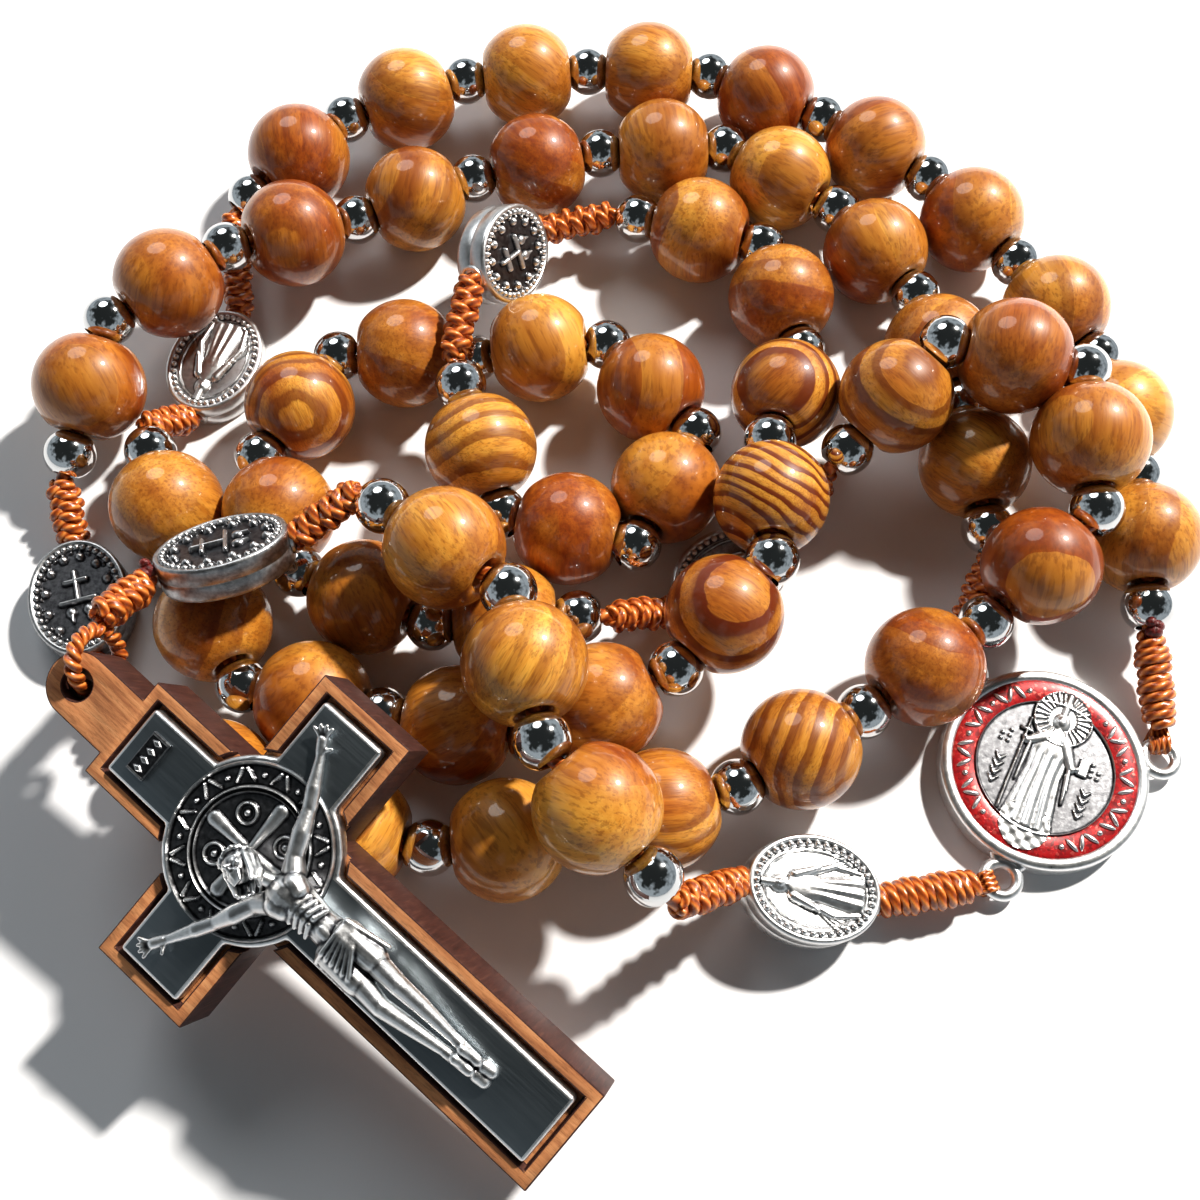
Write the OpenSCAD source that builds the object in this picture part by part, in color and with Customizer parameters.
// Five-decade rosary laid down in loose coils on a flat surface, in millimetres.
// The origin is on the surface below the middle of the rosary, and +Z is up.
// The loop runs from the centre medal through five decades of beads and four oval
// medals and back; the pendant runs from the centre medal to the crucifix.

/* [Beads] */
// Diameter of a wooden bead
wood_d = 8; // [7.8:0.1:8]
// Diameter of a metal spacer bead
spacer_d = 3.7; // [3.3:0.1:3.7]
// Length of a wooden bead between its flat ends
wood_l = 7; // [6.8:0.1:7]
// Hole through a wooden bead
wood_bore_d = 2; // [1.6:0.1:2.2]
// Hole through a spacer bead
spacer_bore_d = 1.8; // [1.6:0.1:1.8]
/* [Cord] */
// Diameter of the nylon cord
cord_d = 1; // [0.6:0.1:1]
// Diameter over a wound knot
knot_d = 2.4; // [2:0.1:2.6]

/* [Oval medals] */
// Length of an oval medal along the cord
medal_l = 9; // [8.5:0.1:9]
// Width of an oval medal
medal_w = 7; // [6.5:0.1:7]
// Thickness of an oval medal
medal_t = 2.5; // [2.2:0.1:2.6]

/* [Centre medal] */
// Diameter of the centre medal without its loops
centre_d = 14; // [13:0.2:14]
// Thickness of the centre medal
centre_t = 1.8; // [1.6:0.1:2]
// Wire diameter of the three loops
loop_wire_d = 0.8; // [0.6:0.1:0.8]

/* [Crucifix] */
// Width of the wooden limbs
limb_w = 7; // [6.6:0.1:7.2]
// Width over the two arms
cross_w = 21.2; // [20:0.2:22]
// Length from the hole to the foot of the cross
cross_drop = 39.8; // [38:0.2:40]
// Thickness of the wood
cross_t = 4; // [3.6:0.1:4]
// Hole in the top tab
hole_d = 2; // [1.8:0.1:2.2]
// Radius of the disc behind the figure's head
disc_r = 5.6; // [5:0.1:5.8]

/* [Hidden] */
$fn = 48;
FLAT_SIDES = 40;
CORD_SIDES = 8;
MOUTH_FLARE = 0.4;
MOUTH_DEPTH = 0.4;
RIM_W = 0.7;
RELIEF = 0.25;

// Where each oval medal lies: the mouths of its hole, and its roll about the cord
MEDAL_1 = [[-28.5, 18, 1.3], [-31, 9.5, 1.3], 0];
MEDAL_2 = [[-5.5, 24.5, 4], [-10, 17, 8], -60];
MEDAL_3 = [[5, -6.5, 1.3], [12.5, -1.5, 1.3], 0];
MEDAL_4 = [[-36, -10, 1.3], [-38.5, -1.5, 1.3], 0];
MEDAL_P1 = [[-21, -4.5, 9], [-29.5, -7, 9], 35];
MEDAL_P2 = [[17.5, -27, 1.5], [8.5, -26, 3.5], 0];

// Where the centre medal lies, and the directions of its loops
CENTRE = [29.5, -18, 0.9];
CENTRE_UP = 64;
LOOP_R = 1.1;
LOOP_OUT = 8.2;
LOOP_ANGLES = [CENTRE_UP - 58, CENTRE_UP + 58, CENTRE_UP + 180];

// Where the crucifix hangs: the hole's upper mouth, and the turn, pitch and roll
HANG = [-32.4, -15.9, 12.4];
CROSS_TURN = [49, 4, -18];
ARM_DROP = 15.2;
SHOULDER_DROP = 3.9;
TAB_W = 4.2;
PLATE_W = 4.7;
PLATE_T = 1.2;
PLATE_SUNK = 0.8;
RECESS_GAP = 0.3;

// Where the spacers lie along each strand; a wooden bead sits between each pair
DECADE_1 = [
    [37.5, -7, 3.5], [38, 3, 4], [36.5, 13, 4], [31.5, 21.5, 4], [25.5, 29.5, 4],
    [17.5, 35.5, 4], [8.5, 40, 4], [-1.5, 40.5, 4], [-11.5, 39.5, 4], [-21, 35.5, 4],
    [-28, 28, 3.5]];
DECADE_2 = [
    [-33, 5, 4], [-29.5, -4, 4], [-24.5, -13, 4], [-15, -15, 4], [-5, -16.5, 4],
    [4.5, -12.5, 6], [11, -5.5, 8], [11.5, 4.5, 6.5], [14.5, 13.5, 4], [12, 23, 4],
    [2.5, 26, 3.5]];
DECADE_3 = [
    [-10.5, 9, 6.5], [-7.5, 0, 4], [2, -2.5, 4], [6.5, 6.5, 4], [0, 14, 4],
    [-10, 13.5, 3], [-20, 13, 4], [-25, 4.5, 4], [-21.5, -4.5, 4], [-12, -8.5, 4],
    [-2, -8, 4]];
DECADE_4 = [
    [17, 4, 6], [23.5, 10, 10.5], [33, 8, 10], [33, -2, 8.5], [25.5, -9, 5.5],
    [17, -15, 4.5], [8.5, -20, 4], [-1.5, -23, 4], [-11.5, -24, 4], [-21.5, -22, 4],
    [-30, -17, 3.5]];
DECADE_5 = [
    [-39, 5, 3.5], [-36.5, 14.5, 6.5], [-28.5, 21, 6.5], [-19.5, 25.5, 4], [-10.5, 29.5, 4],
    [-0.5, 32, 4], [9.5, 32.5, 4], [18, 26.5, 4], [23.5, 18.5, 4], [26, 9, 4],
    [27, -1, 3.5]];
PENDANT_RUN = [[2.7, -27, 9.5], [-4, -19.3, 12], [-6.3, -9.3, 11.5], [-14.8, -2.8, 10.6]];

wood_r = wood_d / 2;
spacer_r = spacer_d / 2;
cord_r = cord_d / 2;
knot_r = knot_d / 2;

// Curves ------------------------------------------------------------------

function unit(v) = v / norm(v);

// Lifts a point so that a wooden bead there rests on the surface or above it
function rested(p) = [p[0], p[1], max(p[2], wood_r)];

// Spacers with a wooden bead halfway between each pair
function with_wood(p) = [
    for (i = [0 : len(p) - 1])
        each i == 0 ? [p[0]] : [rested((p[i - 1] + p[i]) / 2), p[i]]];

// Medals and loops ----------------------------------------------------------

function medal_mid(m) = (m[0] + m[1]) / 2;
function medal_dir(m) = unit(m[1] - m[0]);
// Mouth of the medal's hole, where the cord comes in or goes out
function mouth_in(m) = medal_mid(m) - medal_dir(m) * medal_l / 2;
function mouth_out(m) = medal_mid(m) + medal_dir(m) * medal_l / 2;
function inside_in(m) = medal_mid(m) - medal_dir(m) * (medal_l / 2 - 1);
function inside_out(m) = medal_mid(m) + medal_dir(m) * (medal_l / 2 - 1);

// The cord comes up through a loop and leaves over its wire in a given direction
function loop_centre(i) = CENTRE + LOOP_OUT * [cos(LOOP_ANGLES[i]), sin(LOOP_ANGLES[i]), 0];
LOOP_WAYS = [[0, 1, 0], [-0.3, 1, 0], [-1, -0.3, 0]];
OVER_WIRE = (loop_wire_d + cord_d) / 2 + 0.05;
function loop_over(i) = loop_centre(i) + 2 * LOOP_WAYS[i] + [0, 0, OVER_WIRE];
LOOP_CLIMB = [[-0.12, -0.3], [0, 0.35], [0.35, 0.85], [LOOP_R, OVER_WIRE + 0.05]];
function through_loop(i) = [
    for (q = LOOP_CLIMB) loop_centre(i) + q[0] * LOOP_WAYS[i] + [0, 0, q[1]]];
function backwards(p) = [for (i = [len(p) - 1 : -1 : 0]) p[i]];

// Strands -------------------------------------------------------------------
// One strand: where it starts, where it ends, and its spacers in between
STRANDS = [
    [loop_over(0), mouth_in(MEDAL_1), DECADE_1],
    [mouth_out(MEDAL_1), mouth_in(MEDAL_2), DECADE_2],
    [mouth_out(MEDAL_2), mouth_in(MEDAL_3), DECADE_3],
    [mouth_out(MEDAL_3), mouth_in(MEDAL_4), DECADE_4],
    [mouth_out(MEDAL_4), loop_over(1), DECADE_5],
    [mouth_out(MEDAL_P2), mouth_in(MEDAL_P1), PENDANT_RUN]];
PENDANT = 5;
BEADS = [for (s = STRANDS) with_wood(s[2])];

// Direction of the cord through bead i of a run
function bead_dir(b, i) = unit(b[min(i + 1, len(b) - 1)] - b[max(i - 1, 0)]);

// Ends of the two knots that hold a run of beads, and their small gap to a medal
KNOT_GAP = 0.25;
function first_end(s) = BEADS[s][0] - bead_dir(BEADS[s], 0) * (spacer_r + KNOT_GAP);
function last_end(s) =
    let (b = BEADS[s], n = len(b) - 1) b[n] + bead_dir(b, n) * (spacer_r + KNOT_GAP);

// The cord keeps to the axis of each bead's bore, and bends between the beads
IN_WOOD = 2.9;
IN_SPACER = 1.2;
function threaded(b) = [
    for (i = [0 : len(b) - 1])
        let (h = (i % 2 == 0 ? IN_SPACER : IN_WOOD) * bead_dir(b, i))
        each [b[i] - h, b[i] + h]];

function strand_cord(s, inner_start, inner_end) =
    concat(inner_start, [STRANDS[s][0], first_end(s)], threaded(BEADS[s]),
        [last_end(s), STRANDS[s][1]], inner_end);

// Inner ends of each strand: in a medal's hole or in a loop of the centre medal
INNER = [
    [through_loop(0), [inside_in(MEDAL_1)]],
    [[inside_out(MEDAL_1)], [inside_in(MEDAL_2)]],
    [[inside_out(MEDAL_2)], [inside_in(MEDAL_3)]],
    [[inside_out(MEDAL_3)], [inside_in(MEDAL_4)]],
    [[inside_out(MEDAL_4)], backwards(through_loop(1))],
    [[inside_out(MEDAL_P2)], [inside_in(MEDAL_P1)]]];

// Crucifix places ------------------------------------------------------------

// The last knot runs from the upper medal to the loop in the crucifix
KNOT_FOOT = [-31.7, -11.3, 12.2];
KNOT_HEAD = mouth_out(MEDAL_P1) + [-0.5, -0.7, 0.3];

// Small parts -----------------------------------------------------------------

// Puts local x along the line from a to b, and local z as near upright as it goes
module along(a, b, roll = 0) {
    d = b - a;
    translate((a + b) / 2)
        rotate([0, 0, atan2(d[1], d[0])])
            rotate([0, -asin(d[2] / norm(d)), 0])
                rotate([roll, 0, 0])
                    children();
}

// Puts local z along the cord's direction d at p
module threaded_on(p, d) {
    translate(p)
        rotate([0, 0, atan2(d[1], d[0])])
            rotate([0, acos(d[2]), 0])
                children();
}

// A turned wooden bead: a ball with flat ends and a hole with chamfered mouths
module wood_bead() {
    difference() {
        intersection() {
            sphere(r = wood_r);
            cube([2 * wood_d, 2 * wood_d, wood_l], center = true);
        }
        cylinder(h = wood_l + 2, d = wood_bore_d, center = true);
        for (side = [0, 1])
            mirror([0, 0, side])
                translate([0, 0, wood_l / 2 - MOUTH_DEPTH])
                    cylinder(h = 2 * MOUTH_DEPTH, r1 = wood_bore_d / 2, r2 = wood_bore_d / 2 + 2 * MOUTH_FLARE);
    }
}

module spacer_bead() {
    difference() {
        sphere(r = spacer_r);
        cylinder(h = spacer_d + 2, d = spacer_bore_d, center = true);
    }
}

// A round cord of radius r along the points p
module cord(p, r, up = [0, 0, 1]) {
    n = len(p);
    dirs = [for (i = [0 : n - 1]) unit(p[min(i + 1, n - 1)] - p[max(i - 1, 0)])];
    rings = [
        for (i = [0 : n - 1])
            let (u = unit(cross(up, dirs[i])), v = cross(dirs[i], u))
            for (k = [0 : CORD_SIDES - 1])
                p[i] + r * (cos(360 * k / CORD_SIDES) * u + sin(360 * k / CORD_SIDES) * v)];
    walls = [
        for (i = [0 : n - 2], k = [0 : CORD_SIDES - 1])
            let (a = i * CORD_SIDES, q = (k + 1) % CORD_SIDES)
            [a + k, a + CORD_SIDES + k, a + CORD_SIDES + q, a + q]];
    first_cap = [for (k = [0 : CORD_SIDES - 1]) k];
    last_cap = [for (k = [0 : CORD_SIDES - 1]) n * CORD_SIDES - 1 - k];
    polyhedron(points = rings, faces = concat([first_cap, last_cap], walls));
}

// A wound knot from a to b, with a hole for the cord, a rounded wrap every turn and
// narrow ends that keep clear of what they are pushed against
WRAP_PITCH = 1.1;
WRAP_DEPTH = 0.12;
WRAP_STEPS = 4;
KNOT_END = 0.7;
END_TAPER = 0.35;
module knot(a, b) {
    l = norm(b - a) - 2 * KNOT_END;
    turns = max(3, round(l / WRAP_PITCH));
    steps = turns * WRAP_STEPS;
    hole_r = cord_r + 0.05;
    wrap = [
        for (i = [0 : steps])
            [knot_r - WRAP_DEPTH * (1 + cos(360 * i / WRAP_STEPS))
                - (i == 0 || i == steps ? END_TAPER : 0), l * i / steps - l / 2]];
    along(a, b)
        rotate([0, 90, 0])
            rotate_extrude()
                polygon(concat([[hole_r, -l / 2]], wrap, [[hole_r, l / 2]]));
}

// Oval outline of a medal, shrunk by inset
module oval(inset) {
    polygon([
        for (k = [0 : FLAT_SIDES - 1])
            let (a = 360 * k / FLAT_SIDES)
            [(medal_l / 2 - inset) * cos(a), (medal_w / 2 - inset) * sin(a)]]);
}

// A thick oval medal with a lengthwise hole, a raised rim, and a star-ringed cross
STARS = 12;
STAR_R = 0.3;
STAR_INSET = 1.35;
BAR_W = 0.6;
UPRIGHT_L = 3.6;
CROSSBAR_L = 2;
module oval_medal(place) {
    floor_z = medal_t / 2 - RELIEF;
    along(place[0], place[1], place[2]) {
        difference() {
            translate([0, 0, -medal_t / 2])
                linear_extrude(medal_t)
                    oval(0);
            for (side = [0, 1])
                mirror([0, 0, side])
                    translate([0, 0, floor_z])
                        linear_extrude(1)
                            oval(RIM_W);
            rotate([0, 90, 0])
                cylinder(h = medal_l + 2, d = cord_d + 0.3, center = true);
        }
        for (side = [0, 1])
            mirror([0, 0, side])
                translate([0, 0, floor_z - 0.1])
                    medal_relief();
    }
}

module medal_relief() {
    height = RELIEF + 0.05;
    for (k = [0 : STARS - 1]) {
        a = 360 * (k + 0.5) / STARS;
        translate([(medal_l / 2 - STAR_INSET) * cos(a), (medal_w / 2 - STAR_INSET) * sin(a), 0])
            cylinder(h = height, r = STAR_R, $fn = 24);
    }
    translate([-UPRIGHT_L / 2, -BAR_W / 2, 0])
        cube([UPRIGHT_L, BAR_W, height]);
    translate([BAR_W / 2, -CROSSBAR_L / 2, 0])
        cube([BAR_W, CROSSBAR_L, height]);
}

module ring(outer_r, inner_r, h) {
    difference() {
        cylinder(h = h, r = outer_r);
        translate([0, 0, -1])
            cylinder(h = h + 2, r = inner_r);
    }
}

// Crucifix frame: local y towards the tab, z up from the wood's front face
module on_cross() {
    translate(HANG)
        rotate([0, 0, CROSS_TURN[0]])
            rotate([CROSS_TURN[1], 0, 0])
                rotate([0, CROSS_TURN[2], 0])
                    children();
}

// Outline of a Latin cross whose upright and arms are w wide, inset from the wood
module cross_outline(w, inset) {
    translate([-w / 2, -cross_drop + inset])
        square([w, cross_drop - SHOULDER_DROP - 2 * inset]);
    translate([-cross_w / 2 + inset, -ARM_DROP - w / 2])
        square([cross_w - 2 * inset, w]);
}

// A limb of the figure: tapering parts with round ends between the points p
module limb(p, r) {
    for (i = [0 : len(p) - 2])
        hull() {
            translate(p[i])
                sphere(r = r[i]);
            translate(p[i + 1])
                sphere(r = r[i + 1]);
        }
}

// Nodes ------------------------------------------------------------------------

module decade_wood(s) {
    color("peru")
        for (i = [1 : 2 : len(BEADS[s]) - 1])
            threaded_on(BEADS[s][i], bead_dir(BEADS[s], i))
                wood_bead();
}

module decade_spacers(s) {
    color("gainsboro")
        for (i = [0 : 2 : len(BEADS[s]) - 1])
            threaded_on(BEADS[s][i], bead_dir(BEADS[s], i))
                spacer_bead();
}

module decade_cord(s) {
    color("chocolate")
        cord(strand_cord(s, INNER[s][0], INNER[s][1]), cord_r);
}

module first_knot(s) {
    color("chocolate")
        knot(STRANDS[s][0], first_end(s));
}

module last_knot(s) {
    color("chocolate")
        knot(last_end(s), STRANDS[s][1]);
}

module silver_medal(place) {
    color("silver")
        oval_medal(place);
}

ENAMEL_OUTER = 6.2;
ENAMEL_INNER = 4.7;
ENAMEL_T = 0.3;
module centre_medal() {
    color("silver")
        translate(CENTRE) {
            difference() {
                translate([0, 0, -centre_t / 2])
                    cylinder(h = centre_t, d = centre_d);
                translate([0, 0, centre_t / 2 - ENAMEL_T])
                    ring(ENAMEL_OUTER, ENAMEL_INNER, 1);
            }
            for (a = LOOP_ANGLES)
                translate([LOOP_OUT * cos(a), LOOP_OUT * sin(a), 0])
                    rotate_extrude()
                        translate([LOOP_R, 0])
                            circle(d = loop_wire_d, $fn = 24);
            rotate([0, 0, CENTRE_UP])
                translate([0, 0, centre_t / 2 - 0.1])
                    robed_relief();
        }
}

// Low relief of a standing robed figure, with its head towards local x
ROBE_FOOT = -3.6;
ROBE_L = 5.4;
ROBE_R = [0.75, 0.45];
ROBE_HEAD_R = 0.55;
module robed_relief() {
    translate([ROBE_FOOT, 0, 0])
        rotate([0, 90, 0])
            cylinder(h = ROBE_L, r1 = ROBE_R[0], r2 = ROBE_R[1], $fn = 24);
    translate([ROBE_FOOT + ROBE_L + ROBE_HEAD_R, 0, 0])
        sphere(r = ROBE_HEAD_R, $fn = 24);
}

module centre_medal_enamel() {
    color("crimson")
        translate(CENTRE + [0, 0, centre_t / 2 - ENAMEL_T])
            ring(ENAMEL_OUTER, ENAMEL_INNER, ENAMEL_T);
}

module pendant_centre_cord() {
    color("chocolate")
        cord(concat(through_loop(2),
            [loop_over(2), mouth_in(MEDAL_P2), inside_in(MEDAL_P2)]), cord_r);
}

module pendant_centre_knot() {
    color("chocolate")
        knot(loop_over(2), mouth_in(MEDAL_P2));
}

module pendant_bead(i) {
    color(i % 2 == 0 ? "gainsboro" : "peru")
        threaded_on(BEADS[PENDANT][i], bead_dir(BEADS[PENDANT], i))
            if (i % 2 == 0) spacer_bead();
            else wood_bead();
}

module pendant_crucifix_cord() {
    color("chocolate")
        cord([inside_out(MEDAL_P1), mouth_out(MEDAL_P1), KNOT_HEAD, KNOT_FOOT], cord_r);
}

module crucifix_knot() {
    color("chocolate")
        knot(KNOT_HEAD, KNOT_FOOT);
}

// The cord's loop through the hole, an upright ring over the tab's side edge
LOOP_LONG = 2.9;
LOOP_SHORT = 1.9;
LOOP_MID = 1.65;
LOOP_SIDE = 35;
LOOP_RINGS = 16;
module crucifix_loop() {
    ring_points = [
        for (k = [0 : LOOP_RINGS - 1])
            let (a = 360 * k / LOOP_RINGS)
            [0, LOOP_MID + LOOP_SHORT * cos(a), LOOP_LONG * sin(a) - cross_t / 2]];
    color("chocolate")
        on_cross()
            rotate([0, 0, LOOP_SIDE - 90])
                closed_cord(ring_points, cord_r);
}

// A closed ring of cord in the local plane x = 0
module closed_cord(p, r) {
    n = len(p);
    rings = [
        for (i = [0 : n - 1])
            let (t = unit(p[(i + 1) % n] - p[(i + n - 1) % n]), u = [1, 0, 0], v = cross(t, u))
            for (k = [0 : CORD_SIDES - 1])
                p[i] + r * (cos(360 * k / CORD_SIDES) * u + sin(360 * k / CORD_SIDES) * v)];
    walls = [
        for (i = [0 : n - 1], k = [0 : CORD_SIDES - 1])
            let (a = i * CORD_SIDES, c = ((i + 1) % n) * CORD_SIDES, q = (k + 1) % CORD_SIDES)
            [a + k, c + k, c + q, a + q]];
    polyhedron(points = rings, faces = walls);
}

module crucifix_wood() {
    color("burlywood")
        on_cross()
            difference() {
                translate([0, 0, -cross_t])
                    linear_extrude(cross_t)
                        union() {
                            cross_outline(limb_w, 0);
                            translate([-TAB_W / 2, -SHOULDER_DROP - 1])
                                square([TAB_W, SHOULDER_DROP + 1]);
                            circle(d = TAB_W);
                        }
                translate([0, 0, -cross_t - 1])
                    cylinder(h = cross_t + 2, d = hole_d);
                translate([0, 0, -PLATE_SUNK])
                    linear_extrude(2)
                        plate_outline(RECESS_GAP);
            }
}

PLATE_INSET = 1.1;
module plate_outline(grow) {
    cross_outline(PLATE_W + 2 * grow, PLATE_INSET - grow);
    translate([0, -ARM_DROP])
        circle(r = disc_r + grow);
}

module crucifix_metal_plate() {
    color("dimgray")
        on_cross()
            translate([0, 0, -PLATE_SUNK])
                linear_extrude(PLATE_T)
                    plate_outline(0);
}

DISC_T = 0.35;
DISC_RING = [4.9, 4.5];
DISC_INNER_RING = [3.1, 2.8];
DISC_BEADS = 24;
DISC_BEAD_R = 0.25;
DISC_BEADS_AT = 3.8;
module crucifix_disc() {
    color("gray")
        on_cross()
            translate([0, -ARM_DROP, PLATE_T - PLATE_SUNK]) {
                ring(DISC_RING[0], DISC_RING[1], DISC_T);
                ring(DISC_INNER_RING[0], DISC_INNER_RING[1], DISC_T);
                for (k = [0 : DISC_BEADS - 1])
                    rotate([0, 0, 360 * k / DISC_BEADS])
                        translate([DISC_BEADS_AT, 0, 0])
                            cylinder(h = DISC_T, r = DISC_BEAD_R, $fn = 24);
                cylinder(h = DISC_T / 2, r = DISC_RING[0] - 0.2);
            }
}

TITLE_SIZE = [2.8, 1.4, 0.3];
TITLE_DROP = 7.4;
module crucifix_title_plate() {
    color("gray")
        on_cross()
            translate([-TITLE_SIZE[0] / 2, -TITLE_DROP, PLATE_T - PLATE_SUNK])
                cube(TITLE_SIZE);
}

// The figure on the cross, arms spread, head bowed, knees together
FIGURE_SIDES = 14;
ARM = [[1.5, -17.9, 1], [4.4, -16.5, 0.6], [7.4, -14.6, 0.45]];
LEG = [[0.8, -23.5, 1], [0.7, -27.2, 1.6], [0.4, -31.4, 0.8], [0.3, -33, 1.2]];
TRUNK = [[0, -18.7, 1.1], [0, -21.5, 0.9], [0, -23.3, 1]];
HEAD = [0.2, -15.8, 2.1];
module crucifix_figure() {
    color("silver")
        on_cross()
            translate([0, 0, PLATE_T - PLATE_SUNK + DISC_T / 2]) {
                for (side = [-1, 1])
                    figure_half(side);
                limb(TRUNK, [1.5, 1.05, 1.35], $fn = FIGURE_SIDES);
                limb([HEAD + [0, -1.2, -0.6], HEAD], [0.5, 1], $fn = FIGURE_SIDES);
            }
}

module figure_half(side) {
    limb([for (q = ARM) [q[0] * side, q[1], q[2]]], [0.65, 0.5, 0.35], $fn = FIGURE_SIDES);
    limb([for (q = LEG) [q[0] * side, q[1], q[2]]], [0.95, 0.65, 0.42, 0.4], $fn = FIGURE_SIDES);
}

// Drawing ------------------------------------------------------------------------

decade_wood(0);  // decade_1_wood_beads
decade_wood(1);  // decade_2_wood_beads
decade_wood(2);  // decade_3_wood_beads
decade_wood(3);  // decade_4_wood_beads
decade_wood(4);  // decade_5_wood_beads
decade_spacers(0);  // decade_1_spacer_beads
decade_spacers(1);  // decade_2_spacer_beads
decade_spacers(2);  // decade_3_spacer_beads
decade_spacers(3);  // decade_4_spacer_beads
decade_spacers(4);  // decade_5_spacer_beads
decade_cord(0);  // decade_1_cord
decade_cord(1);  // decade_2_cord
decade_cord(2);  // decade_3_cord
decade_cord(3);  // decade_4_cord
decade_cord(4);  // decade_5_cord
first_knot(0);  // decade_1_first_knot
last_knot(0);  // decade_1_last_knot
first_knot(1);  // decade_2_first_knot
last_knot(1);  // decade_2_last_knot
first_knot(2);  // decade_3_first_knot
last_knot(2);  // decade_3_last_knot
first_knot(3);  // decade_4_first_knot
last_knot(3);  // decade_4_last_knot
first_knot(4);  // decade_5_first_knot
last_knot(4);  // decade_5_last_knot
silver_medal(MEDAL_1);  // oval_medal_1
silver_medal(MEDAL_2);  // oval_medal_2
silver_medal(MEDAL_3);  // oval_medal_3
silver_medal(MEDAL_4);  // oval_medal_4
centre_medal();
centre_medal_enamel();
pendant_centre_knot();
silver_medal(MEDAL_P2);  // pendant_lower_medal
first_knot(PENDANT);  // pendant_first_knot
pendant_bead(0);  // pendant_spacer_1
pendant_bead(1);  // pendant_wood_bead_1
pendant_bead(2);  // pendant_spacer_2
pendant_bead(3);  // pendant_wood_bead_2
pendant_bead(4);  // pendant_spacer_3
pendant_bead(5);  // pendant_wood_bead_3
pendant_bead(6);  // pendant_spacer_4
last_knot(PENDANT);  // pendant_last_knot
silver_medal(MEDAL_P1);  // pendant_upper_medal
pendant_centre_cord();
decade_cord(PENDANT);  // pendant_bead_cord
pendant_crucifix_cord();
crucifix_knot();
crucifix_loop();
crucifix_wood();
crucifix_metal_plate();
crucifix_disc();
crucifix_title_plate();
crucifix_figure();
